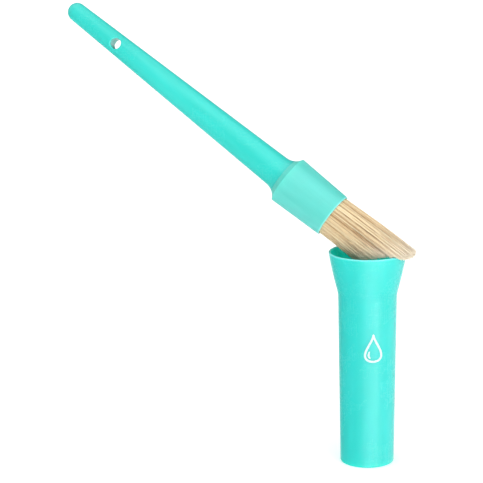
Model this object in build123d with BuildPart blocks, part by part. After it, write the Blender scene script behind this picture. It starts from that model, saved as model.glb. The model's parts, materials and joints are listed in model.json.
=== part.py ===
# A hoof oil brush resting in the mouth of its own storage cup.
#
# The cup is a tall one-piece moulding with a flared mouth. The brush is a tapered round handle
# with a hanging hole, a capsule-shaped ferrule and a round, slant-cut head of natural bristle.
# The brush's axis crosses the cup's axis just above the rim. The head's slant cut lies over the
# mouth, its long side reaching past the rim.
#
# Origin: centre of the cup's foot, on the surface it stands on. +Z is up, +X is the side that
# the bristles point to, -Y is the front. Millimetres.
from build123d import *
import os
from math import asin, cos, degrees, radians, sin, sqrt, tan

# ---- driving dimensions: cup ----
cup_height = 151.0
foot_radius = 18.8            # outside, at the foot
body_radius = 20.4            # outside, where the flare starts
rim_radius = 27.1             # outside, at the mouth
flare_height = 32.0           # from the start of the flare to the rim
flare_bend_height = 6.0       # from its start to the end of its first, tight bend
flare_bend_radius = 21.4      # outside, there
cup_wall = 1.4
cup_floor = 2.2
foot_edge_round = 1.4
cup_corner_round = 3.0        # inside, between the wall and the floor
rim_round = 0.65

# ---- driving dimensions: handle and ferrule, measured along the brush from the ferrule's mouth ----
brush_length = 240.0          # ferrule's mouth to the handle's end
handle_end_radius = 6.7
neck_radius = 11.4            # where the handle starts to flare into the shoulder
shoulder_corner = 40.3        # ferrule's mouth to its sharp shoulder edge
shoulder_radius = 17.7        # at that edge
shoulder_arc_radius = 12.0    # hollow curve from the neck to the edge
seam_height = 44.0            # joint line between the handle and the ferrule
mouth_radius = 16.1           # ferrule's outside at its mouth
ferrule_wall = 1.2
ferrule_top_wall = 3.0        # thickness of the closed end under the shoulder
mouth_round = 0.4
hanging_hole_radius = 3.8
hanging_hole_inset = 44.5     # handle's end to the hole's axis
hanging_hole_turn = 17.0      # degrees that its far end dips from level
hanging_hole_round = 0.6

# ---- driving dimensions: what the ferrule holds ----
tenon_radius = 9.0
tenon_length = 13.0           # below the seam
setting_thickness = 6.0       # resin between the tenon and the butts of the bristles
core_radius = 4.5             # plug that keeps the middle of the head open
core_length = 17.0
tenon_clearance = 0.1
setting_clearance = 0.05
core_clearance = 0.1

# ---- driving dimensions: bristles ----
head_radius = 16.0            # of the loose part of the head
head_spread_length = 40.0     # mouth to where the bristles have opened to that radius
ring_clearance = 0.1          # between the inner, middle and outer bristles
bristle_mouth_clearance = 0.2      # between the outer bristles and the ferrule
head_middle_length = 43.3     # mouth to the cut, on the axis
cut_slant = 42.0              # degrees away from square, long side uppermost

# ---- driving dimensions: how the brush rests in the cup ----
brush_slope = 35.4            # degrees below level, handle to bristles
brush_heading = 17.0          # degrees towards the front from +X
crossing_to_mouth = 30.8      # from where the two axes cross back to the ferrule's mouth
rest_clearance = 1.0          # between the slanted cut and the rim it lies over

# ---- worked out ----
flare_start = cup_height - flare_height
shoulder_centre_radius = neck_radius + shoulder_arc_radius
shoulder_sweep = degrees(asin((shoulder_centre_radius - shoulder_radius) / shoulder_arc_radius))
neck_height = shoulder_corner + shoulder_arc_radius * cos(radians(shoulder_sweep))
seam_angle = degrees(asin((neck_height - seam_height) / shoulder_arc_radius))
seam_radius = shoulder_centre_radius - shoulder_arc_radius * cos(radians(seam_angle))
ferrule_bore_top = shoulder_corner - ferrule_top_wall
tenon_end = seam_height - tenon_length
butt_height = tenon_end - setting_thickness


def height_over_rim():
    """Height above the rim where the brush's axis crosses the cup's, with the cut clear of the rim.

    Seen from above, the cut is an ellipse as wide as the head. It meets the inner edge of the
    rim at one place on each side, where the cut is lowest over the rim. Along the ellipse's
    length that place is a share of its half length, the positive root of a quadratic.
    """
    past_crossing = head_middle_length - crossing_to_mouth
    centre = past_crossing * cos(radians(brush_slope))
    half_length = head_radius * (
        tan(radians(cut_slant)) * cos(radians(brush_slope)) + sin(radians(brush_slope))
    )
    inner_radius = rim_radius - cup_wall
    square_term = half_length**2 - head_radius**2
    linear_term = 2 * centre * half_length
    constant_term = centre**2 + head_radius**2 - inner_radius**2
    root = sqrt(linear_term**2 - 4 * square_term * constant_term)
    share = -2 * constant_term / (linear_term + root)
    cut_tilt = radians(90 - brush_slope - cut_slant)
    drop = past_crossing * sin(radians(brush_slope)) - tan(cut_tilt) * half_length * share
    return rest_clearance / cos(cut_tilt) + drop


brush_rest = (
    Pos(0, 0, cup_height + height_over_rim())
    * Rotation(0, 0, -brush_heading)
    * Rotation(0, brush_slope - 90, 0)
    * Pos(0, 0, crossing_to_mouth)
)
brush_frame = Plane(brush_rest)    # at the ferrule's mouth, z to the handle, x to the long side
brush_axis = Axis(brush_frame.origin, brush_frame.z_dir)
brush_section = Plane(brush_frame.origin, x_dir=brush_frame.x_dir, z_dir=-brush_frame.y_dir)


def bore_radius(height):
    """Inside radius of the ferrule at a height above its mouth."""
    taper = (shoulder_radius - mouth_radius) / shoulder_corner
    return mouth_radius - ferrule_wall + taper * height


def wall_line(inset):
    """Side of the cup from the foot to the rim, moved inwards by the inset."""
    taper = (body_radius - foot_radius) / flare_start
    start = (body_radius - inset, flare_start)
    bend_end = (flare_bend_radius - inset, flare_start + flare_bend_height)
    rim = (rim_radius - inset, cup_height)
    straight = Line((foot_radius - inset, 0), start)
    flare = Spline(start, bend_end, rim, tangents=[(taper, 1), (0.17, 1)])
    return straight, flare


# ================ cup ================
with BuildPart() as cup:
    with BuildSketch(Plane.XZ) as cup_section:
        with BuildLine():
            wall_line(0)
            Line((foot_radius, 0), (0, 0))
            Line((0, 0), (0, cup_height))
            Line((0, cup_height), (rim_radius, cup_height))
        make_face()
        with BuildLine():
            wall_line(cup_wall)
            Line((foot_radius - cup_wall, 0), (0, 0))
            Line((0, 0), (0, cup_height))
            Line((0, cup_height), (rim_radius - cup_wall, cup_height))
        make_face(mode=Mode.SUBTRACT)
        with Locations((0, 0)):
            Rectangle(foot_radius - cup_wall / 2, cup_floor, align=(Align.MIN, Align.MIN))
    revolve(axis=Axis.Z)
    rounded = cup.edges().filter_by(GeomType.CIRCLE)
    fillet(rounded.filter_by_position(Axis.Z, cup_height - 0.1, cup_height + 0.1), rim_round)
    fillet(rounded.group_by(Axis.Z)[0].sort_by(SortBy.RADIUS)[-1], foot_edge_round)
    inside_corner = rounded.filter_by_position(Axis.Z, cup_floor - 0.1, cup_floor + 0.1)
    fillet(inside_corner.sort_by(SortBy.RADIUS)[-1], cup_corner_round)
cup.part.label = "cup"

# ================ handle ================
with BuildPart() as handle:
    with BuildSketch(brush_section):
        with BuildLine():
            Line((0, tenon_end), (tenon_radius, tenon_end))
            Line((tenon_radius, tenon_end), (tenon_radius, seam_height))
            Line((tenon_radius, seam_height), (seam_radius, seam_height))
            CenterArc((shoulder_centre_radius, neck_height), shoulder_arc_radius,
                      180, seam_angle)
            Line((neck_radius, neck_height), (handle_end_radius, brush_length - handle_end_radius))
            CenterArc((0, brush_length - handle_end_radius), handle_end_radius, 0, 90)
            Line((0, brush_length), (0, tenon_end))
        make_face()
    revolve(axis=brush_axis)
    hole_centre = brush_frame.from_local_coords((0, 0, brush_length - hanging_hole_inset))
    hole_direction = brush_frame.y_dir.rotate(brush_axis, hanging_hole_turn)
    with BuildSketch(Plane(hole_centre, x_dir=brush_frame.z_dir, z_dir=hole_direction)):
        Circle(hanging_hole_radius)
    extrude(amount=2 * neck_radius, both=True, mode=Mode.SUBTRACT)
    hole_edges = handle.edges(Select.LAST).filter_by(GeomType.BSPLINE)
    fillet(hole_edges, hanging_hole_round)
handle.part.label = "handle"

# ================ ferrule ================
with BuildPart() as ferrule:
    with BuildSketch(brush_section):
        with BuildLine():
            Line((mouth_radius, 0), (shoulder_radius, shoulder_corner))
            CenterArc((shoulder_centre_radius, neck_height), shoulder_arc_radius,
                      180 + seam_angle, 90 - shoulder_sweep - seam_angle)
            Line((seam_radius, seam_height), (tenon_radius + tenon_clearance, seam_height))
            Line((tenon_radius + tenon_clearance, seam_height),
                 (tenon_radius + tenon_clearance, ferrule_bore_top))
            Line((tenon_radius + tenon_clearance, ferrule_bore_top),
                 (bore_radius(ferrule_bore_top), ferrule_bore_top))
            Line((bore_radius(ferrule_bore_top), ferrule_bore_top), (bore_radius(0), 0))
            Line((bore_radius(0), 0), (mouth_radius, 0))
        make_face()
    revolve(axis=brush_axis)
    mouth_edges = ferrule.edges().filter_by(GeomType.CIRCLE).sort_by(brush_axis)[:2]
    fillet(mouth_edges, mouth_round)
ferrule.part.label = "ferrule"

# ================ resin setting ================
with BuildPart() as resin_setting:
    with BuildSketch(brush_section):
        with BuildLine():
            Polyline(
                (0, butt_height),
                (bore_radius(butt_height) - setting_clearance, butt_height),
                (bore_radius(tenon_end) - setting_clearance, tenon_end),
                (0, tenon_end),
                close=True,
            )
        make_face()
    revolve(axis=brush_axis)
resin_setting.part.label = "resin_setting"

# ================ core plug ================
with BuildPart() as core_plug:
    with BuildSketch(Plane(brush_frame.from_local_coords((0, 0, butt_height)),
                           x_dir=brush_frame.x_dir, z_dir=-brush_frame.z_dir)):
        Circle(core_radius)
    extrude(amount=core_length)
    fillet(core_plug.edges().sort_by(brush_axis)[0], core_radius / 3)
core_plug.part.label = "core_plug"

# ================ bristles ================
head_end = head_middle_length + head_radius * tan(radians(cut_slant))
cut_normal = brush_frame.x_dir * -sin(radians(cut_slant)) - brush_frame.z_dir * cos(radians(cut_slant))
cut_plane = Plane(brush_frame.from_local_coords((0, 0, -head_middle_length)), z_dir=cut_normal)
set_radius = bore_radius(0) - bristle_mouth_clearance
spread = head_radius / set_radius
ring_step = (set_radius - core_radius) / 3
inner_border = core_radius + ring_step
outer_border = set_radius - ring_step


def ring_outline(inner, outer):
    """Corners of one ring of bristles in section, its radii given inside the ferrule."""
    return (
        (inner, butt_height),
        (outer, butt_height),
        (outer, 0),
        (outer * spread, -head_spread_length),
        (outer * spread, -head_end),
        (inner * spread, -head_end),
        (inner * spread, -head_spread_length),
        (inner, 0),
    )


with BuildPart() as bristles_outer:
    with BuildSketch(brush_section):
        with BuildLine():
            Polyline(*ring_outline(outer_border + ring_clearance, set_radius), close=True)
        make_face()
    revolve(axis=brush_axis)
    split(bisect_by=cut_plane, keep=Keep.BOTTOM)
bristles_outer.part.label = "bristles_outer"

with BuildPart() as bristles_middle:
    with BuildSketch(brush_section):
        with BuildLine():
            Polyline(*ring_outline(inner_border + ring_clearance, outer_border), close=True)
        make_face()
    revolve(axis=brush_axis)
    split(bisect_by=cut_plane, keep=Keep.BOTTOM)
bristles_middle.part.label = "bristles_middle"

with BuildPart() as bristles_inner:
    with BuildSketch(brush_section):
        with BuildLine():
            Polyline(
                (0, butt_height),
                (inner_border, butt_height),
                (inner_border, 0),
                (inner_border * spread, -head_spread_length),
                (inner_border * spread, -head_end),
                (0, -head_end),
                close=True,
            )
        make_face()
        with BuildLine():
            Polyline(
                (0, butt_height),
                (core_radius + core_clearance, butt_height),
                (core_radius + core_clearance, butt_height - core_length - core_clearance),
                (0, butt_height - core_length - core_clearance),
                close=True,
            )
        make_face(mode=Mode.SUBTRACT)
    revolve(axis=brush_axis)
    split(bisect_by=cut_plane, keep=Keep.BOTTOM)
bristles_inner.part.label = "bristles_inner"

# ================ written out ================
pieces = (cup, handle, ferrule, resin_setting, core_plug, bristles_outer, bristles_middle,
          bristles_inner)
os.makedirs("parts", exist_ok=True)
for piece in pieces:
    export_step(piece.part, f"parts/{piece.part.label}.step")

print("ferrule's mouth", brush_frame.origin, "to the handle", brush_frame.z_dir)
print("hanging hole", hole_centre, "along", hole_direction)
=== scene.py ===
# %% [markdown]
# # A hoof oil brush resting over its cup
#
# The real thing is a tall turquoise plastic cup with a flared mouth, and a round brush with a
# long tapered handle, a plastic ferrule and a slant-cut head of natural bristle. The packed
# model brings every piece at its true size and place. This lesson gives the pieces their
# surfaces: moulded plastic, some ten thousand real bristles in place of three plain solids, a
# white print on the cup, and a pale studio to look at them in.
#
# Everything is in metres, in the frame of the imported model.

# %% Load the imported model
import json
from math import radians

import bpy
import numpy as np
from mathutils import Matrix, Vector


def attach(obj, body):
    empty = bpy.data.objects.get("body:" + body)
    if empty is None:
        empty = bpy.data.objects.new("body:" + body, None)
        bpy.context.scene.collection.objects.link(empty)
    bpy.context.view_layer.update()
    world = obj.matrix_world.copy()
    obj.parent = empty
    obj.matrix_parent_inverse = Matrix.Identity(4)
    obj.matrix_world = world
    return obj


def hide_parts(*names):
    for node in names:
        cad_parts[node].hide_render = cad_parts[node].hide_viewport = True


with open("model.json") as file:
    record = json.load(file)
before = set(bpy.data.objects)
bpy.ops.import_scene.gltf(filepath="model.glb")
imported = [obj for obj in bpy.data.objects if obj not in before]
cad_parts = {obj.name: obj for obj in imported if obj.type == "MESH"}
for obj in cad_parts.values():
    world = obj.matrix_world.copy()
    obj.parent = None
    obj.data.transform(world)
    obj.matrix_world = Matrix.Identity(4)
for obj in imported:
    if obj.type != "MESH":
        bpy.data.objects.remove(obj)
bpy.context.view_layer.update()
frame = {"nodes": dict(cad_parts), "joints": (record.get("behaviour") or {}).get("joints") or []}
nodes = frame["nodes"]
MM = 0.001
print("pieces in the frame:", sorted(nodes))

# %% [markdown]
# ## Where the brush lies
#
# The brush leans, so its bristles are easiest to lay out in the brush's own directions. The
# joint that lifts the brush off runs along its axis, which gives the first direction. The
# other two are square to it: one level, and one that leans upwards, on the long side of the
# head. Distances are measured from the ferrule's mouth, which is found on its mesh, so the
# bristles stay in place if the model changes.

# %% The brush's own directions and the ferrule's mouth


def unit(vector):
    """The vector divided by its own length."""
    return vector / np.linalg.norm(vector)


def corners(name):
    """A node's vertices as an array of n by 3."""
    mesh = nodes[name].data
    flat = np.empty(len(mesh.vertices) * 3)
    mesh.vertices.foreach_get("co", flat)
    return flat.reshape(-1, 3)


MOUTH_BAND = 0.6 * MM         # the ferrule's rounded lip is no taller than this
to_handle = unit(np.array(frame["joints"][0]["axis"], float))
level_side = unit(np.cross(to_handle, (0.0, 0.0, 1.0)))
long_side = np.cross(level_side, to_handle)

ferrule_points = corners("ferrule")
heights = ferrule_points @ to_handle
mouth_ring = ferrule_points[heights < heights.min() + MOUTH_BAND]


def middle(values):
    """Halfway between the lowest and the highest value."""
    return (values.min() + values.max()) / 2


mouth = (
    to_handle * heights.min()
    + long_side * middle(mouth_ring @ long_side)
    + level_side * middle(mouth_ring @ level_side)
)


def in_brush(points):
    """Points as (long side, level side, height above the ferrule's mouth)."""
    return (points - mouth) @ np.stack([long_side, level_side, to_handle], 1)


def from_brush(local):
    """The way back: brush coordinates to the model's frame."""
    return mouth + local @ np.stack([long_side, level_side, to_handle])


print("ferrule's mouth at", (mouth / MM).round(2), "mm")

# %% Size and slant of the head, from the solid that stands for it
SPREAD_LENGTH = 40 * MM       # past the mouth, where the head has opened to its full radius
OUTER_SHARE = 0.98            # of the head's radius, past which a point is on its outside
BUTT_BAND = 0.1 * MM          # a point this near the highest one is on a butt
PAST_SPREAD = 1 * MM          # room left before the points that are on the cut
head = in_brush(corners("bristles_outer"))
across = np.hypot(head[:, 0], head[:, 1])
head_radius = across.max()
butt_height = head[:, 2].max()
set_radius = across[head[:, 2] > butt_height - BUTT_BAND].max()
on_cut = (across > OUTER_SHARE * head_radius) & (head[:, 2] < -(SPREAD_LENGTH + PAST_SPREAD))
cut_slope, middle_length = np.polyfit(head[on_cut, 0], -head[on_cut, 2], 1)
long_length = middle_length + cut_slope * head_radius
short_length = middle_length - cut_slope * head_radius
print(
    "head radius %.1f, long side %.1f, short side %.1f mm"
    % (head_radius / MM, long_length / MM, short_length / MM)
)

# %% [markdown]
# ## Shared helpers
#
# A surface here is an array of points and an array of faces, made by a formula and written
# into a mesh in one go. That is much faster than adding vertices one by one, and the formula
# can be read. The helper below turns such arrays into an object at the origin.

# %% Arrays to an object


def object_from_arrays(name, points, faces, smooth=True):
    """A mesh object at the origin from n by 3 points and m by k face corners."""
    mesh = bpy.data.meshes.new(name)
    sides = faces.shape[1]
    mesh.vertices.add(len(points))
    mesh.vertices.foreach_set("co", np.ascontiguousarray(points, dtype=np.float32).ravel())
    mesh.loops.add(faces.size)
    mesh.loops.foreach_set("vertex_index", np.ascontiguousarray(faces, dtype=np.int32).ravel())
    mesh.polygons.add(len(faces))
    mesh.polygons.foreach_set("loop_start", np.arange(0, faces.size, sides, dtype=np.int32))
    mesh.update(calc_edges=True)
    mesh.validate()
    if smooth:
        mesh.shade_smooth()
    made = bpy.data.objects.new(name, mesh)
    bpy.context.scene.collection.objects.link(made)
    print(name, len(points), "points", len(faces), "faces")
    return made


# %% [markdown]
# ## Moulded plastic
#
# All three turquoise pieces are injection-moulded polypropylene. Up close such plastic is not
# one flat colour: pigment flows in faint clouds, the steel of the mould leaves a very fine
# skin texture, and handling leaves hairline marks that only show in the gloss. The three
# pieces share these effects, so each effect is a node group with its own inputs.

# %% Node helpers


def new_group(name, inputs, outputs):
    """An empty shader node group. An input with no default is a vector, and the rest are floats."""
    group = bpy.data.node_groups.new(name, "ShaderNodeTree")
    for socket_name, default in inputs:
        kind = "NodeSocketVector" if default is None else "NodeSocketFloat"
        socket = group.interface.new_socket(socket_name, in_out="INPUT", socket_type=kind)
        if default is not None:
            socket.default_value = default
    for socket_name in outputs:
        group.interface.new_socket(socket_name, in_out="OUTPUT", socket_type="NodeSocketFloat")
    return group, group.nodes.new("NodeGroupInput"), group.nodes.new("NodeGroupOutput")


def maths(tree, operation, first, second=None, third=None):
    """A Math node fed with sockets or plain numbers. Returns its output."""
    node = tree.nodes.new("ShaderNodeMath")
    node.operation = operation
    for slot, value in zip(node.inputs, (first, second, third)):
        if value is None:
            continue
        if isinstance(value, (int, float)):
            slot.default_value = value
        else:
            tree.links.new(value, slot)
    return node.outputs["Value"]


def noise(tree, vector, scale, detail=3.0, roughness=0.5):
    """A noise texture read at a vector. Returns its factor."""
    node = tree.nodes.new("ShaderNodeTexNoise")
    node.inputs["Detail"].default_value = detail
    node.inputs["Roughness"].default_value = roughness
    if isinstance(scale, (int, float)):
        node.inputs["Scale"].default_value = scale
    else:
        tree.links.new(scale, node.inputs["Scale"])
    tree.links.new(vector, node.inputs["Vector"])
    return node.outputs["Fac"]


def in_own_axes(tree, place, axes, scale):
    """A place measured along a piece's own three directions, each scaled.

    A mapping of the texture kind first turns the place back, and then divides it by a size.
    """
    mapping = tree.nodes.new("ShaderNodeMapping")
    mapping.vector_type = "TEXTURE"
    mapping.inputs["Rotation"].default_value = Matrix(np.transpose(axes).tolist()).to_euler()
    mapping.inputs["Scale"].default_value = 1 / np.array(scale)
    tree.links.new(place, mapping.inputs["Vector"])
    return mapping.outputs["Vector"]


# %% The mould's skin: faint clouds of pigment and a fine texture
RIPPLE_SHARE = 6.0            # how much taller the slow ripple is than the fine texture
mould_skin, skin_in, skin_out = new_group(
    "mould_skin", [("Vector", None), ("Cloud Scale", 95.0), ("Skin Scale", 2500.0)],
    ["Cloud", "Height"],
)
clouds = noise(mould_skin, skin_in.outputs["Vector"], skin_in.outputs["Cloud Scale"], 4.0)
skin = noise(mould_skin, skin_in.outputs["Vector"], skin_in.outputs["Skin Scale"], 2.0)
ripple = noise(mould_skin, skin_in.outputs["Vector"], skin_in.outputs["Cloud Scale"], 1.0)
mould_skin.links.new(clouds, skin_out.inputs["Cloud"])
mould_skin.links.new(
    maths(mould_skin, "MULTIPLY_ADD", ripple, RIPPLE_SHARE, skin), skin_out.inputs["Height"]
)
print("group", mould_skin.name)

# %% Handling marks: hairlines in two directions, kept to scattered patches
LINE_STEEPNESS = 60.0         # the higher, the thinner the hairlines
PATCH_SCALE = 45.0
MARKED_ABOVE = 0.52           # a patch is marked where its noise is over this


def hairlines(tree, vector, stretch, turn):
    """Thin lines: noise drawn out along one direction, kept only where it crosses a half."""
    mapping = tree.nodes.new("ShaderNodeMapping")
    mapping.inputs["Scale"].default_value = stretch
    mapping.inputs["Rotation"].default_value = turn
    tree.links.new(vector, mapping.inputs["Vector"])
    waves = noise(tree, mapping.outputs["Vector"], 1.0, 3.0, 0.6)
    distance = maths(tree, "ABSOLUTE", maths(tree, "SUBTRACT", waves, 0.5))
    steep = maths(tree, "MINIMUM", maths(tree, "MULTIPLY", distance, LINE_STEEPNESS), 1.0)
    return maths(tree, "SUBTRACT", 1.0, steep)


marks, marks_in, marks_out = new_group("handling_marks", [("Vector", None)], ["Marks"])
first_lines = hairlines(marks, marks_in.outputs["Vector"], (900.0, 700.0, 25.0), (0.3, 0.2, 0.0))
second_lines = hairlines(marks, marks_in.outputs["Vector"], (35.0, 500.0, 800.0), (0.1, 0.5, 0.9))
patches = noise(marks, marks_in.outputs["Vector"], PATCH_SCALE, 2.0)
kept = maths(marks, "GREATER_THAN", patches, MARKED_ABOVE)
lines = maths(marks, "MAXIMUM", first_lines, second_lines)
marks.links.new(maths(marks, "MULTIPLY", lines, kept), marks_out.inputs["Marks"])
print("group", marks.name)

# %% A painted highlight along an edge: the plastic is drawn lighter along a lip, for the light its rounded edge catches
HIGHLIGHT_REACH = 1.3               # widths from the edge to where the painted highlight has faded out
HIGHLIGHT_SCALE = 260.0
HIGHLIGHT_SWING = 0.9               # how much the painted highlight comes and goes along the edge
HIGHLIGHT_LEAST = 0.5
edge_highlight, highlight_in, highlight_out = new_group(
    "edge_highlight", [("Vector", None), ("Outward", None), ("Edge", 0.0), ("Width", 0.001)],
    ["Rubbed"],
)
outward = edge_highlight.nodes.new("ShaderNodeVectorMath")
outward.operation = "DOT_PRODUCT"
edge_highlight.links.new(highlight_in.outputs["Vector"], outward.inputs[0])
edge_highlight.links.new(highlight_in.outputs["Outward"], outward.inputs[1])
depth = maths(edge_highlight, "SUBTRACT", highlight_in.outputs["Edge"], outward.outputs["Value"])
share = maths(edge_highlight, "DIVIDE", depth, highlight_in.outputs["Width"])
painted_edge_light = maths(edge_highlight, "MAXIMUM", maths(edge_highlight, "SUBTRACT", HIGHLIGHT_REACH, share), 0.0)
blotches = noise(edge_highlight, highlight_in.outputs["Vector"], HIGHLIGHT_SCALE)
uneven = maths(edge_highlight, "MULTIPLY_ADD", blotches, HIGHLIGHT_SWING, HIGHLIGHT_LEAST)
highlight_amount = maths(edge_highlight, "MULTIPLY", maths(edge_highlight, "MINIMUM", painted_edge_light, 1.0), uneven)
edge_highlight.links.new(maths(edge_highlight, "MINIMUM", highlight_amount, 1.0), highlight_out.inputs["Rubbed"])
print("group", edge_highlight.name)

# %% [markdown]
# A plastic is then a Principled shader fed by those groups. The colour moves a little between
# two shades of the same pigment and is drawn lighter along one edge as a painted highlight, the
# roughness rises where there are hairlines, and the skin texture goes to a Bump node. Subsurface
# scattering stands for the light that enters thin unfilled polypropylene and comes out again,
# which is what makes its shadows glow.

# %% A moulded plastic
BRUSH_AXES = np.stack([long_side, level_side, to_handle])
CUP_AXES = np.eye(3)
FLOW_STRETCH = 0.14           # how much slower the clouds change along the flow
MARKS_ROUGHEN = 0.07          # roughness that a hairline adds
SKIN_DEPTH = 0.02 * MM
GLOW_DEPTH = 5.0 * MM         # how far light travels inside the plastic
PLASTIC_IOR = 1.49


def moulded_plastic(name, deep, pale, roughness, scatter, skin_strength, axes, edge):
    """A plastic whose colour moves between a deep and a pale shade.

    The plastic flowed along the last of its axes, so its clouds are drawn out that way. The edge
    is a direction, the edge's distance along it, and the width and colour of the painted highlight.
    """
    material = bpy.data.materials.new(name)
    material.use_nodes = True
    tree = material.node_tree
    shader = tree.nodes["Principled BSDF"]
    place = tree.nodes.new("ShaderNodeTexCoord").outputs["Object"]

    skin_node = tree.nodes.new("ShaderNodeGroup")
    skin_node.node_tree = mould_skin
    flow = in_own_axes(tree, place, axes, (1.0, 1.0, FLOW_STRETCH))
    tree.links.new(flow, skin_node.inputs["Vector"])
    marks_node = tree.nodes.new("ShaderNodeGroup")
    marks_node.node_tree = marks
    tree.links.new(place, marks_node.inputs["Vector"])

    ramp = tree.nodes.new("ShaderNodeValToRGB")
    ramp.color_ramp.elements[0].position = 0.35
    ramp.color_ramp.elements[0].color = (*deep, 1.0)
    ramp.color_ramp.elements[1].position = 0.65
    ramp.color_ramp.elements[1].color = (*pale, 1.0)
    tree.links.new(skin_node.outputs["Cloud"], ramp.inputs["Fac"])

    outward, edge_place, width, highlight_colour = edge
    highlight_node = tree.nodes.new("ShaderNodeGroup")
    highlight_node.node_tree = edge_highlight
    highlight_node.inputs["Outward"].default_value = outward
    highlight_node.inputs["Edge"].default_value = edge_place
    highlight_node.inputs["Width"].default_value = width
    tree.links.new(place, highlight_node.inputs["Vector"])
    painted_edge_light = tree.nodes.new("ShaderNodeMix")
    painted_edge_light.data_type = "RGBA"
    painted_edge_light.inputs["B"].default_value = (*highlight_colour, 1.0)
    tree.links.new(ramp.outputs["Color"], painted_edge_light.inputs["A"])
    tree.links.new(highlight_node.outputs["Rubbed"], painted_edge_light.inputs["Factor"])
    tree.links.new(painted_edge_light.outputs["Result"], shader.inputs["Base Color"])

    rough = maths(tree, "MULTIPLY_ADD", marks_node.outputs["Marks"], MARKS_ROUGHEN, roughness)
    tree.links.new(rough, shader.inputs["Roughness"])
    bump = tree.nodes.new("ShaderNodeBump")
    bump.inputs["Strength"].default_value = skin_strength
    bump.inputs["Distance"].default_value = SKIN_DEPTH
    tree.links.new(skin_node.outputs["Height"], bump.inputs["Height"])
    tree.links.new(bump.outputs["Normal"], shader.inputs["Normal"])

    shader.inputs["IOR"].default_value = PLASTIC_IOR
    shader.inputs["Subsurface Weight"].default_value = scatter
    shader.inputs["Subsurface Radius"].default_value = (0.25, 1.0, 0.85)
    shader.inputs["Subsurface Scale"].default_value = GLOW_DEPTH
    return material


# %% The three plastics and the painted highlights along their edges
# Each edge's last entry is the lighter colour of its painted highlight, for the light line along a
# rounded lip or end.
cup_lip = ((0.0, 0.0, 1.0), corners("cup")[:, 2].max(), 1.1 * MM, (0.20, 0.88, 0.80))
handle_end = (to_handle, (corners("handle") @ to_handle).max(), 2.0 * MM, (0.06, 0.78, 0.68))
ferrule_lip = (-to_handle, -heights.min(), 0.9 * MM, (0.26, 0.88, 0.80))
cup_plastic = moulded_plastic(
    "cup_plastic",
    deep=(0.029, 0.690, 0.598),
    pale=(0.038, 0.725, 0.638),
    roughness=0.26,
    scatter=0.9,
    skin_strength=0.25,
    axes=CUP_AXES,
    edge=cup_lip,
)
handle_plastic = moulded_plastic(
    "handle_plastic",
    deep=(0.024, 0.620, 0.545),
    pale=(0.040, 0.680, 0.608),
    roughness=0.26,
    scatter=0.3,
    skin_strength=0.18,
    axes=BRUSH_AXES,
    edge=handle_end,
)
ferrule_plastic = moulded_plastic(
    "ferrule_plastic",
    deep=(0.104, 0.655, 0.560),
    pale=(0.140, 0.735, 0.640),
    roughness=0.50,
    scatter=0.5,
    skin_strength=0.45,
    axes=BRUSH_AXES,
    edge=ferrule_lip,
)
print("plastics:", cup_plastic.name, handle_plastic.name, ferrule_plastic.name)

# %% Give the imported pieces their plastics


def finish_node(name, material):
    """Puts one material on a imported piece."""
    mesh = nodes[name].data
    mesh.materials.clear()
    mesh.materials.append(material)
    print(name, "is finished in", material.name)


finish_node("cup", cup_plastic)
finish_node("handle", handle_plastic)
finish_node("ferrule", ferrule_plastic)

# %% [markdown]
# ## What the ferrule hides
#
# Inside the ferrule, cast resin holds the bristle butts round a small turned plug. Neither
# shows, but a piece that is part of the object has a finish of its own all the same: amber
# resin that light goes a little way into, and pale wood with its grain along the plug.

# %% Resin and plug wood


def cast_resin():
    """Amber resin with a few cloudy streaks and a soft gloss."""
    material = bpy.data.materials.new("cast_resin")
    material.use_nodes = True
    tree = material.node_tree
    shader = tree.nodes["Principled BSDF"]
    place = tree.nodes.new("ShaderNodeTexCoord").outputs["Object"]
    ramp = tree.nodes.new("ShaderNodeValToRGB")
    ramp.color_ramp.elements[0].color = (0.34, 0.16, 0.04, 1.0)
    ramp.color_ramp.elements[1].color = (0.62, 0.38, 0.14, 1.0)
    tree.links.new(noise(tree, place, 220.0, 4.0), ramp.inputs["Fac"])
    tree.links.new(ramp.outputs["Color"], shader.inputs["Base Color"])
    shader.inputs["Roughness"].default_value = 0.2
    shader.inputs["Subsurface Weight"].default_value = 0.3
    shader.inputs["Subsurface Scale"].default_value = 1.0 * MM
    return material


def plug_wood():
    """Pale wood: noise stretched along the brush's axis makes the grain."""
    material = bpy.data.materials.new("plug_wood")
    material.use_nodes = True
    tree = material.node_tree
    shader = tree.nodes["Principled BSDF"]
    place = tree.nodes.new("ShaderNodeTexCoord").outputs["Object"]
    grain = in_own_axes(tree, place, BRUSH_AXES, (2200.0, 2200.0, 120.0))
    ramp = tree.nodes.new("ShaderNodeValToRGB")
    ramp.color_ramp.elements[0].color = (0.42, 0.27, 0.14, 1.0)
    ramp.color_ramp.elements[1].color = (0.78, 0.60, 0.38, 1.0)
    tree.links.new(noise(tree, grain, 1.0, 5.0), ramp.inputs["Fac"])
    tree.links.new(ramp.outputs["Color"], shader.inputs["Base Color"])
    shader.inputs["Roughness"].default_value = 0.7
    return material


finish_node("resin_setting", cast_resin())
finish_node("core_plug", plug_wood())

# %% [markdown]
# ## Bristles
#
# A head of natural bristle could be made with a hair system, or with a textured solid. Hair
# can't be exported as a mesh, and a solid has no gaps between hairs and no ragged cut. So each
# bristle is a real thin tube with three sides, and thousands of them are computed at once.
#
# A bristle starts at the resin, stands straight in the ferrule, opens out just past the mouth,
# and then runs to the slanted cut. Neighbours stick together in small locks, which is what
# makes the dark and light streaks along a real head.

# %% Bristle material: natural tan hair, each with its own tone, with painted shade in the gaps between locks and tips drawn lighter, partly their own colour and partly painted light
OWN_STRETCH = 700.0           # sets each hair on its own stretch of the noise
BANDS_ALONG = 9.0             # how fast the tone changes along a hair
BAND_SWING = 0.8
BAND_AT_ROOT = 0.33           # share of the swing that is there at the mouth already
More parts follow.
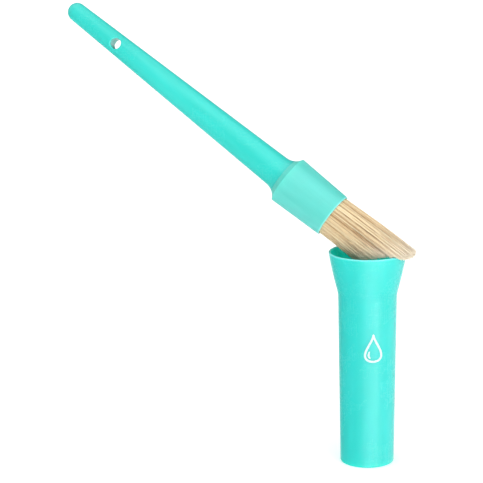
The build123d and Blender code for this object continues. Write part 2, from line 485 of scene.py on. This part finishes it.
# Towards the tip the hair is drawn lighter: flagged tips are lighter in colour, and the lift is
# also painted light for the shaded lower part of the head.
PALER_AND_LIT_TO_TIP = 0.27
PAINTED_GAP_SHADE = 0.42           # painted shade: how much darker hairs in the gaps between locks are drawn
TIP_SHARPNESS = 4.0
TIP_PALE_AND_LIT = 0.75


def bristle_hair():
    """Tan hair, driven by its own tone, the way along it, and whether it lies between locks, which
    gets painted shade.
    """
    material = bpy.data.materials.new("bristle_hair")
    material.use_nodes = True
    tree = material.node_tree
    shader = tree.nodes["Principled BSDF"]
    tone = tree.nodes.new("ShaderNodeAttribute")
    tone.attribute_name = "tone"
    along = tree.nodes.new("ShaderNodeAttribute")
    along.attribute_name = "along"

    shades = tree.nodes.new("ShaderNodeValToRGB")
    ramp = shades.color_ramp
    ramp.elements[0].position = 0.0
    ramp.elements[0].color = (0.18, 0.09, 0.035, 1.0)
    ramp.elements[1].position = 1.0
    ramp.elements[1].color = (0.99, 0.90, 0.66, 1.0)
    for position, colour in ((0.25, (0.52, 0.31, 0.14, 1.0)), (0.6, (0.94, 0.74, 0.45, 1.0))):
        ramp.elements.new(position).color = colour
    bands = tree.nodes.new("ShaderNodeTexNoise")
    bands.noise_dimensions = "1D"
    bands.inputs["Scale"].default_value = 1.0
    bands.inputs["Detail"].default_value = 2.0
    start = maths(tree, "MULTIPLY", tone.outputs["Fac"], OWN_STRETCH)
    spot = maths(tree, "MULTIPLY_ADD", along.outputs["Fac"], BANDS_ALONG, start)
    tree.links.new(spot, bands.inputs["W"])
    swing = maths(tree, "MULTIPLY_ADD", bands.outputs["Fac"], BAND_SWING, -BAND_SWING / 2)
    growing = maths(tree, "ADD", along.outputs["Fac"], BAND_AT_ROOT)
    shade = maths(tree, "MULTIPLY_ADD", swing, growing, tone.outputs["Fac"])
    paler_and_lit = maths(tree, "MULTIPLY_ADD", along.outputs["Fac"], PALER_AND_LIT_TO_TIP, shade)
    # Hairs in the gaps between locks are drawn darker: painted shade for the shade that falls
    # between the locks.
    between = tree.nodes.new("ShaderNodeAttribute")
    between.attribute_name = "between"
    gap_shade = maths(tree, "MULTIPLY", between.outputs["Fac"], growing)
    final = maths(tree, "MULTIPLY_ADD", gap_shade, -PAINTED_GAP_SHADE, paler_and_lit)
    tree.links.new(final, shades.inputs["Fac"])

    # The tips mix towards a pale colour: partly the flagged ends' own colour, partly painted light
    # on the shaded lower head.
    pale_lit_tip = tree.nodes.new("ShaderNodeMix")
    pale_lit_tip.data_type = "RGBA"
    pale_lit_tip.inputs["B"].default_value = (1.0, 0.90, 0.74, 1.0)
    tree.links.new(shades.outputs["Color"], pale_lit_tip.inputs["A"])
    tip = maths(tree, "POWER", along.outputs["Fac"], TIP_SHARPNESS)
    tree.links.new(maths(tree, "MULTIPLY", tip, TIP_PALE_AND_LIT), pale_lit_tip.inputs["Factor"])
    tree.links.new(pale_lit_tip.outputs["Result"], shader.inputs["Base Color"])
    shader.inputs["Roughness"].default_value = 0.45
    shader.inputs["Specular IOR Level"].default_value = 0.35
    return material


hair = bristle_hair()
print("material", hair.name)

# %% Where each bristle stands, and how its lock pulls it
SEED = 739
random = np.random.default_rng(SEED)
GOLDEN_ANGLE = np.pi * (3 - np.sqrt(5))


def scattered(count, inner, outer, jitter):
    """Points spread evenly over a ring: a sunflower spiral, each nudged a little.

    Point k of n has a radius whose square grows evenly from inner to outer, and each point is
    turned by the golden angle from the last.
    """
    share = (np.arange(count) + 0.5) / count
    radius = np.sqrt(inner**2 + (outer**2 - inner**2) * share)
    angle = np.arange(count) * GOLDEN_ANGLE
    spot = np.stack([radius * np.cos(angle), radius * np.sin(angle)], 1)
    return spot + random.normal(0, jitter, spot.shape)


LOCKS = 560
LOCK_SCATTER = 0.30 * MM
LOCK_TONE_SPREAD = 0.05
LOCK_LEAN_SPREAD = 0.30 * MM
locks = scattered(LOCKS, 0.0, head_radius, LOCK_SCATTER)
lock_spacing = head_radius * np.sqrt(np.pi / LOCKS)
lock_tone = random.normal(0, LOCK_TONE_SPREAD, LOCKS)
lock_lean = random.normal(0, LOCK_LEAN_SPREAD, locks.shape)


def smooth_step(value):
    """0 below 0, 1 above 1, and an even S-curve between."""
    clipped = np.clip(value, 0, 1)
    return clipped * clipped * (3 - 2 * clipped)


print(LOCKS, "locks, %.1f mm apart" % (lock_spacing / MM))

# %% The cup's rim, which the bristles have to miss
RIM_BAND = 0.2 * MM
cup_points = corners("cup")
cup_across = np.hypot(cup_points[:, 0], cup_points[:, 1])
rim_height = cup_points[:, 2].max()
at_rim = cup_points[:, 2] > rim_height - RIM_BAND
rim_outside = cup_across[at_rim].max()
rim_inside = cup_across[at_rim].min()
print("rim from %.1f to %.1f mm" % (rim_inside / MM, rim_outside / MM))

# %% Where the rim stops a bristle
RIM_GUARD = 0.5 * MM          # room kept between a bristle and the rim
WALL_LEAN = 0.16              # how fast the flare narrows below the rim
EARLY_PART = 0.25             # share of the free length over which the head rises early
EARLY_RISE = 0.4 * MM
LATE_RISE = 0.5 * MM          # and how much more it rises over all of it
WALK_START, WALK_END, WALK_STEP = 20 * MM, 70 * MM, 0.2 * MM


def rise(free):
    """How far the rim pushes the head up: an early S-curve, plus the square of the way along."""
    return EARLY_RISE * smooth_step(free / EARLY_PART) + LATE_RISE * free**2


def stopped_by_rim(tip):
    """How far each bristle can run before it meets the rim.

    The rim's room is a ring around the cup's axis, and its inside narrows downwards with the
    flare. Each bristle is walked along in small steps to see where it enters that ring.
    """
    raised = tip + np.array([rise(1.0), 0.0])
    steps = np.arange(WALK_START, WALK_END, WALK_STEP)
    ends = np.concatenate(
        [
            np.broadcast_to(raised[:, None], (len(tip), len(steps), 2)),
            np.broadcast_to(-steps[None, :, None], (len(tip), len(steps), 1)),
        ],
        2,
    )
    spots = from_brush(ends.reshape(-1, 3)).reshape(ends.shape)
    away = np.hypot(spots[..., 0], spots[..., 1])
    below = np.maximum(rim_height - spots[..., 2], 0)
    met = (
        (spots[..., 2] < rim_height + RIM_GUARD)
        & (away < rim_outside + RIM_GUARD)
        & (away > rim_inside - RIM_GUARD - WALL_LEAN * below)
    )
    return np.where(met.any(1), steps[met.argmax(1)], steps[-1]) - WALK_STEP


on_axis = stopped_by_rim(np.zeros((1, 2)))[0]
print("a bristle on the brush's axis can run %.1f mm" % (on_axis / MM))

# %% How long each bristle is
OVER_FROM = 0.30              # share of the radius, to the long side, where the head runs long
OVER_WIDTH = 0.40
LONG_EXTRA = 4.2 * MM         # how far the long side runs past the solid's cut
CUT_ROUND = 6.5 * MM          # how far the rounded cut falls back from there to the axis
CUT_ROUND_POWER = 1.5
EDGE_FROM = 0.75              # share of the radius where the outside starts to round off
EDGE_ROUND = 2.2 * MM
TRIM_SHORT = 0.5 * MM         # the trim is this much short on average, and ragged
TRIM_RAGGED = 0.7 * MM


def free_length(tip):
    """Length of each bristle past the mouth.

    The head is trimmed to a rounded slant: the long side runs out past the rim, and the rest
    follows the solid's cut. A bristle that would meet the rim on its way stops short of it, so
    some end inside the cup and some hang over its edge.
    """
    to_long_side = tip[:, 0] / head_radius
    over = smooth_step((to_long_side - OVER_FROM) / OVER_WIDTH)
    on_slant = middle_length + cut_slope * tip[:, 0]
    rounded = long_length + LONG_EXTRA - CUT_ROUND * (1 - to_long_side) ** CUT_ROUND_POWER
    wanted = on_slant + (np.maximum(rounded, on_slant) - on_slant) * over
    off_axis = np.linalg.norm(tip, axis=1) / head_radius
    near_edge = smooth_step((off_axis - EDGE_FROM) / (1 - EDGE_FROM))
    wanted -= EDGE_ROUND * near_edge * over
    wanted += random.normal(-TRIM_SHORT, TRIM_RAGGED, len(tip))
    return np.minimum(wanted, stopped_by_rim(tip))


# %% Where a bristle ends, and its middle line
ROOT_SCATTER = 0.12 * MM
HAIR_LEAN = 0.22 * MM
LOCK_GRIP = (0.35, 0.7)       # share of the way to its lock that a tip is pulled
SHADED_GAP_FROM = 0.36           # lock spacings from a lock to where the painted shade of the gap round it starts
SHADED_GAP_WIDTH = 0.24
WAVE_SIZE = 0.18 * MM
WAVE_TURN = 6.0               # radians of wave along the free part
BEND_POWER = 1.5
WAYS = np.array([0.0, 0.30, 0.48, 0.66, 0.84, 1.0])    # rings of points, from resin to cut


def tips_of(root):
    """Where each bristle's tip is across the head, its lock, and how far between locks it is, which
    sets its painted shade.

    A tip is its root pulled part of the way to the nearest lock, then leaned with that lock and
    a little on its own. No tip goes outside the head.
    """
    own_lock = ((locks**2).sum(1) - 2 * root @ locks.T).argmin(1)
    pull = (locks[own_lock] - root) * random.uniform(*LOCK_GRIP, (len(root), 1))
    lean = lock_lean[own_lock] + random.normal(0, HAIR_LEAN, root.shape)
    tip = root + pull + lean
    tip *= np.minimum(1.0, head_radius / np.linalg.norm(tip, axis=1, keepdims=True))
    off_lock = np.linalg.norm(root - locks[own_lock], axis=1) / lock_spacing
    return tip, own_lock, smooth_step((off_lock - SHADED_GAP_FROM) / SHADED_GAP_WIDTH)


def middle_lines(root, tip, length):
    """Each bristle's places across the head, its heights, and its way along the free part.

    The height falls from the resin to the cut. The place is the root's, scaled by how far the
    head has opened at that height, plus the way to the tip, which grows along the free part
    with a power of one and a half, plus a small wave. The rim's push is added last.
    """
    height = butt_height - WAYS[None] * (butt_height + length[:, None])
    opened = smooth_step(-height / SPREAD_LENGTH)
    narrow = set_radius / head_radius
    scale = narrow + (1 - narrow) * opened
    free = np.clip(-height / length[:, None], 0, 1)
    bend = (free**BEND_POWER)[:, :, None]
    wave_phase = random.uniform(0, 2 * np.pi, (len(root), 1))
    wave = WAVE_SIZE * np.sin(free * WAVE_TURN + wave_phase)
    wave_side = random.normal(0, 1, (len(root), 1, 2))
    place = root[:, None] * scale[:, :, None]
    place = place + (tip - root)[:, None] * bend
    place = place + wave[:, :, None] * wave_side * free[:, :, None]
    limit = np.linalg.norm(place, axis=2, keepdims=True) / (scale[:, :, None] * head_radius)
    place = place / np.maximum(limit, 1.0)
    place[:, :, 0] += rise(free)
    return place, height, free


print(len(WAYS), "rings of points along each bristle")

# %% Thin tubes round the middle lines
HAIR_RADIUS = 0.18 * MM
THICKNESS_RANGE = (0.8, 1.25)
TIP_THINNING = 0.4
STATIONS = len(WAYS)
SIDES = 3


def tube_points(place, height, free):
    """Points of three-sided tubes: each middle line's points, pushed out to three corners."""
    count = len(place)
    spread = random.uniform(*THICKNESS_RANGE, (count, 1))
    thick = HAIR_RADIUS * spread * (1 - TIP_THINNING * free**2)
    corner = 2 * np.pi * np.arange(SIDES) / SIDES + random.uniform(0, 2, (count, 1))
    around = np.stack([np.cos(corner), np.sin(corner)], 2)
    flat = place[:, :, None] + thick[:, :, None, None] * around[:, None]
    upright = np.broadcast_to(height[:, :, None, None], flat.shape[:3] + (1,))
    return from_brush(np.concatenate([flat, upright], 3).reshape(-1, 3))


def tube_faces(count):
    """The tubes' walls as triangles, with one triangle closing each end of each bristle."""
    first = np.arange(count)[:, None, None] * STATIONS * SIDES
    station = np.arange(STATIONS - 1)[None, :, None] * SIDES
    side = np.arange(SIDES)[None, None]
    beside = (side + 1) % SIDES
    here = first + station + side
    there = first + station + beside
    wall = np.stack([here, there, there + SIDES, here + SIDES], 3).reshape(-1, 4)
    halves = np.concatenate([wall[:, [0, 1, 2]], wall[:, [0, 2, 3]]])
    butts = first[:, 0] + np.array([[2, 1, 0]])
    tips = first[:, 0] + (STATIONS - 1) * SIDES + np.array([[0, 1, 2]])
    return np.concatenate([halves, butts, tips])


def paint(made, name, values):
    """Stores one number for each point of a mesh."""
    layer = made.data.attributes.new(name, "FLOAT", "POINT")
    layer.data.foreach_set("value", np.ascontiguousarray(values, dtype=np.float32))


print(len(tube_faces(1)), "triangles in each bristle")

# %% One ring of bristles
TONE_MIDDLE = 0.67
TONE_SPREAD = 0.20


def bristle_ring(name, node, count, inner, outer):
    """Bristles rooted between two radii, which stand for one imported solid."""
    root = scattered(count, inner, outer, ROOT_SCATTER)
    tip, own_lock, between = tips_of(root)
    place, height, free = middle_lines(root, tip, free_length(tip))
    points = tube_points(place, height, free)
    tones = TONE_MIDDLE + lock_tone[own_lock] + random.normal(0, TONE_SPREAD, count)
    made = object_from_arrays(name, points, tube_faces(count))
    paint(made, "tone", np.repeat(np.clip(tones, 0, 1), STATIONS * SIDES))
    paint(made, "along", np.repeat(free.ravel(), SIDES))
    # how far each bristle lies between locks: it sets the painted shade in the gaps
    paint(made, "between", np.repeat(between, STATIONS * SIDES))
    made.data.materials.append(hair)
    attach(made, "brush_body")
    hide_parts(node)
    return made


def ring_radii(node):
    """Inner and outer radius of a ring's solid where the head is fully open."""
    local = in_brush(corners(node))
    low = local[local[:, 2] < -SPREAD_LENGTH]
    radii = np.hypot(low[:, 0], low[:, 1])
    return radii.min(), radii.max()


for name, node, count in (
    ("bristles_outer_hairs", "bristles_outer", 5200),
    ("bristles_middle_hairs", "bristles_middle", 3200),
    ("bristles_inner_hairs", "bristles_inner", 2000),
):
    inner, outer = ring_radii(node)
    if node == "bristles_inner":
        inner = 0.0           # past the core plug, these close the head to its axis
    bristle_ring(name, node, count, inner, outer)

# %% [markdown]
# ## The print on the cup
#
# A cup like this carries a small white pad print. Here it is a plain drop of oil, drawn as an
# outline with a short stroke of light inside it. A print is a film of ink, so each stroke is a
# thin ribbon wrapped round the cup: a line, widened to both sides, with its width measured
# along the wall.

# %% Strokes wrapped on the cup's wall
PRINT_HEIGHT = 87 * MM        # centre of the print above the foot
PRINT_TURN = radians(12)      # from the front, towards +X
FOOT_BAND = 3 * MM            # taller than the foot's rounded edge
WALL_TOP = 118 * MM           # just below the start of the flare
WALL_BAND = 0.5 * MM
INK_LIFT = 0.05 * MM
INK_THICKNESS = 0.04 * MM


def wall_radius(height):
    """Outside radius of the cup's straight wall at a height: it grows evenly from the foot up."""
    low = cup_across[np.abs(cup_points[:, 2] - cup_points[:, 2].min()) < FOOT_BAND].max()
    start = cup_points[(cup_across > low) & (cup_points[:, 2] < WALL_TOP), 2].max()
    top = cup_across[np.abs(cup_points[:, 2] - start) < WALL_BAND].max()
    return low + (top - low) * height / start


def on_wall(across_wall, height):
    """A flat drawing carried on to the cup: the way across becomes an angle round the axis."""
    radius = wall_radius(height) + INK_LIFT
    angle = PRINT_TURN + across_wall / radius
    return np.stack([radius * np.sin(angle), -radius * np.cos(angle), height], -1)


def stroke(line, half_width, closed):
    """A ribbon along a drawn line: its own points and two rows beside it, half a width away."""
    ahead = np.roll(line, -1, 0) if closed else np.gradient(line, axis=0) + line
    behind = np.roll(line, 1, 0) if closed else line - np.gradient(line, axis=0)
    along_line = ahead - behind
    normal = np.stack([-along_line[:, 1], along_line[:, 0]], 1)
    normal /= np.linalg.norm(normal, axis=1, keepdims=True)
    rows = line[:, None] + normal[:, None] * (half_width[:, None] * np.array([-1, 0, 1]))[..., None]
    count = len(line)
    here = np.arange(count if closed else count - 1)
    there = (here + 1) % count
    quads = [
        np.stack([here * 3 + row, there * 3 + row, there * 3 + row + 1, here * 3 + row + 1], 1)
        for row in (0, 1)
    ]
    return rows.reshape(-1, 2), np.concatenate(quads)


print("print %.0f mm above the foot" % (PRINT_HEIGHT / MM))

# %% The drop and its stroke of light
DROP_WIDTH, DROP_HEIGHT = 16.0 * MM, 19.0 * MM
DROP_POINT = 2.2              # the higher, the longer the drop's point
DROP_FULLNESS = 1.15
LIGHT_WIDTH, LIGHT_HEIGHT = 9.0 * MM, 12.0 * MM
LIGHT_FROM, LIGHT_TO = 1.12 * np.pi, 1.48 * np.pi
LIGHT_LOWER = 1.6 * MM        # how far the stroke of light sits below the drop's middle
OUTLINE_STEPS, LIGHT_STEPS = 160, 40
OUTLINE_HALF_WIDTH, LIGHT_HALF_WIDTH, LEAST_HALF_WIDTH = 0.75 * MM, 0.70 * MM, 0.02 * MM


def drop_outline(width, height, turn):
    """A teardrop: across is sin(t) times a power of sin(t/2), up is cos(t), for t once round."""
    across_drop = DROP_FULLNESS * np.sin(turn) * np.sin(turn / 2) ** DROP_POINT
    return np.stack([width / 2 * across_drop, height / 2 * np.cos(turn)], 1)


turn = np.linspace(0, 2 * np.pi, OUTLINE_STEPS + 1)[:-1]
outline = drop_outline(DROP_WIDTH, DROP_HEIGHT, turn)
light_turn = np.linspace(LIGHT_FROM, LIGHT_TO, LIGHT_STEPS)
light_line = drop_outline(LIGHT_WIDTH, LIGHT_HEIGHT, light_turn) + np.array([0, -LIGHT_LOWER])
taper = np.sqrt(np.clip(1 - np.linspace(-1, 1, LIGHT_STEPS) ** 2, 0, 1))
drawn = [
    stroke(outline, np.full(OUTLINE_STEPS, OUTLINE_HALF_WIDTH), True),
    stroke(light_line, LIGHT_HALF_WIDTH * taper + LEAST_HALF_WIDTH, False),
]
flat_points = np.concatenate([points for points, _ in drawn])
offsets = np.cumsum([0] + [len(points) for points, _ in drawn[:-1]])
quads = np.concatenate([faces + offset for (_, faces), offset in zip(drawn, offsets)])
wrapped = on_wall(flat_points[:, 0], PRINT_HEIGHT + flat_points[:, 1])
drop_print = object_from_arrays("drop_print", wrapped, quads)
film = drop_print.modifiers.new("film", "SOLIDIFY")
film.thickness = INK_THICKNESS
film.offset = 1.0

# %% White ink


def print_ink():
    """White ink, a little thin in places, so that the plastic tints it."""
    material = bpy.data.materials.new("print_ink")
    material.use_nodes = True
    tree = material.node_tree
    shader = tree.nodes["Principled BSDF"]
    place = tree.nodes.new("ShaderNodeTexCoord").outputs["Object"]
    ramp = tree.nodes.new("ShaderNodeValToRGB")
    ramp.color_ramp.elements[0].position = 0.3
    ramp.color_ramp.elements[0].color = (0.45, 0.85, 0.80, 1.0)
    ramp.color_ramp.elements[1].position = 0.5
    ramp.color_ramp.elements[1].color = (0.74, 0.92, 0.89, 1.0)
    tree.links.new(noise(tree, place, 900.0, 3.0), ramp.inputs["Fac"])
    tree.links.new(ramp.outputs["Color"], shader.inputs["Base Color"])
    shader.inputs["Roughness"].default_value = 0.55
    return material


drop_print.data.materials.append(print_ink())
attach(drop_print, "cup_body")
print("the print rides on the cup")

# %% [markdown]
# ## The studio
#
# A plain pale studio would usually be an even white surround, but gloss then washes out every
# edge. So here the light is shaped, as it is with cards in a real studio. A wide sun stands
# for the ceiling, a square light in front on the right models the round forms, and a tall
# narrow one draws the streak down the cup.
#
# The rest comes from the surround. Above the floor it is open and dim, brighter in front and
# to the right. Below the floor's level are bright patches, which light nothing by themselves,
# because the floor is in the way. The floor is hidden from gloss alone, so they are seen in
# the plastic as if cards lay in front of it. The camera sees plain white behind everything.
#
# The floor glows faintly, so that it stays white without washing out what stands on it. The
# camera is far back, so that the cup's sides stay nearly parallel, and a little above the rim,
# so that the mouth shows as a thin ellipse.

# %% Floor
FLOOR_HALF = 9.0              # half of its side
floor_points = np.array([(-1, -1, 0), (1, -1, 0), (1, 1, 0), (-1, 1, 0)], float) * FLOOR_HALF
floor = object_from_arrays("floor", floor_points, np.array([[0, 1, 2, 3]]), smooth=False)
pale_floor = bpy.data.materials.new("pale_floor")
pale_floor.use_nodes = True
floor_shader = pale_floor.node_tree.nodes["Principled BSDF"]
floor_shader.inputs["Base Color"].default_value = (0.98, 0.98, 0.98, 1.0)
floor_shader.inputs["Roughness"].default_value = 0.9
floor_shader.inputs["Specular IOR Level"].default_value = 0.1
floor_shader.inputs["Emission Color"].default_value = (1.0, 1.0, 1.0, 1.0)
floor_shader.inputs["Emission Strength"].default_value = 0.28
floor.data.materials.append(pale_floor)
floor.visible_glossy = False

# %% Lights
SUN_POWER = 1.15
SUN_WIDTH = radians(75)       # as seen from the object, so its shadows are very soft


def soft_light(name, place, aim, width, height, power):
    """A rectangular area light that faces a point. Returns the lamp's object."""
    lamp = bpy.data.lights.new(name, "AREA")
    lamp.shape = "RECTANGLE"
    lamp.size = width
    lamp.size_y = height
    lamp.energy = power
    lit = bpy.data.objects.new(name, lamp)
    lit.location = place
    lit.rotation_euler = (Vector(aim) - Vector(place)).to_track_quat("-Z", "Y").to_euler()
    bpy.context.scene.collection.objects.link(lit)
    return lit


sky = bpy.data.lights.new("overhead", "SUN")
sky.energy = SUN_POWER
sky.angle = SUN_WIDTH
bpy.context.scene.collection.objects.link(bpy.data.objects.new("overhead", sky))
soft_light(
    "key", place=(0.60, -1.05, 0.40), aim=(0.0, 0.0, 0.12), width=0.75, height=0.75, power=4.2
)
strip = soft_light(
    "strip", place=(0.46, -0.66, 0.14), aim=(0.0, 0.0, 0.08), width=0.14, height=0.26, power=2.0
)
strip.visible_diffuse = False
print("lights:", sky.name, "key", strip.name)

# %% The surround: soft patches of light, each with a direction, a tightness and a strength
DIM = 0.24                    # brightness where no patch shines
OPEN_PATCHES = (
    ((0.50, -0.74, -0.46), 1.5, 1.2),     # in front on the right, very wide
    ((0.05, -0.72, 0.69), 8.0, 0.95),     # above the front
    ((-0.75, 0.10, 0.65), 4.0, 0.6),      # above the left
)
LOW_PATCHES = (               # cut off above the horizon, so they are seen in the gloss alone
    ((0.38, -0.87, -0.28), 6.0, 2.5),     # in front
    ((0.60, -0.77, -0.22), 110.0, 2.0),   # a small one on the right, for a crisp streak
    ((0.05, -0.73, -0.68), 14.0, 1.2),    # low in front
    ((0.85, 0.45, -0.22), 5.0, 0.9),      # behind on the right
    ((0.00, 0.98, -0.14), 8.0, 1.3),      # behind
)
UNDER_FALL = -8.0             # how sharply the patches below start at the horizon
UNDER_START = 0.2


def glow(tree, ray, direction, tightness):
    """How far a ray points one way: its cosine to that direction, raised to a power."""
    cosine = tree.nodes.new("ShaderNodeVectorMath")
    cosine.operation = "DOT_PRODUCT"
    cosine.inputs[1].default_value = Vector(direction).normalized()
    tree.links.new(ray, cosine.inputs[0])
    facing = maths(tree, "MAXIMUM", cosine.outputs["Value"], 0.0)
    return maths(tree, "POWER", facing, tightness)


def patches_of_light(tree, ray, patches, brightness):
    """Adds each patch's glow, times its strength, to a starting brightness."""
    for direction, tightness, strength in patches:
        patch = glow(tree, ray, direction, tightness)
        brightness = maths(tree, "MULTIPLY_ADD", patch, strength, brightness)
    return brightness


surround = bpy.data.worlds.new("surround")
surround.use_nodes = True
sky_tree = surround.node_tree
ray = sky_tree.nodes.new("ShaderNodeTexCoord").outputs["Generated"]
upwards = sky_tree.nodes.new("ShaderNodeSeparateXYZ")
sky_tree.links.new(ray, upwards.inputs["Vector"])
under = maths(sky_tree, "MULTIPLY_ADD", upwards.outputs["Z"], UNDER_FALL, UNDER_START)
under = maths(sky_tree, "MINIMUM", maths(sky_tree, "MAXIMUM", under, 0.0), 1.0)
brightness = patches_of_light(sky_tree, ray, OPEN_PATCHES, DIM)
below = patches_of_light(sky_tree, ray, LOW_PATCHES, 0.0)
brightness = maths(sky_tree, "MULTIPLY_ADD", below, under, brightness)
seen = sky_tree.nodes.new("ShaderNodeLightPath").outputs["Is Camera Ray"]
background = sky_tree.nodes["Background"]
background.inputs["Color"].default_value = (1.0, 1.0, 1.0, 1.0)
sky_tree.links.new(maths(sky_tree, "MAXIMUM", brightness, seen), background.inputs["Strength"])
bpy.context.scene.world = surround
bpy.context.scene.view_settings.view_transform = "Standard"
print("surround with", len(OPEN_PATCHES) + len(LOW_PATCHES), "patches of light")

# %% Camera
CAMERA_PLACE = Vector((0.0, -1.3445, 0.4654))
CAMERA_DOWN = 12.865          # degrees below level
CAMERA_LEFT = 3.704           # degrees left of +Y
CAMERA_ROLL = -0.65           # degrees
CAMERA_LENS = 149.0           # focal length in millimetres
CAMERA_SEES_TO = 50.0
lens = bpy.data.cameras.new("camera")
lens.lens = CAMERA_LENS
lens.clip_end = CAMERA_SEES_TO
camera = bpy.data.objects.new("camera", lens)
camera.matrix_world = (
    Matrix.Translation(CAMERA_PLACE)
    @ Matrix.Rotation(radians(CAMERA_LEFT), 4, "Z")
    @ Matrix.Rotation(radians(90 - CAMERA_DOWN), 4, "X")
    @ Matrix.Rotation(radians(CAMERA_ROLL), 4, "Z")
)
bpy.context.scene.collection.objects.link(camera)
bpy.context.scene.camera = camera
print("camera at", CAMERA_PLACE)

# %% Finish
bpy.context.view_layer.update()
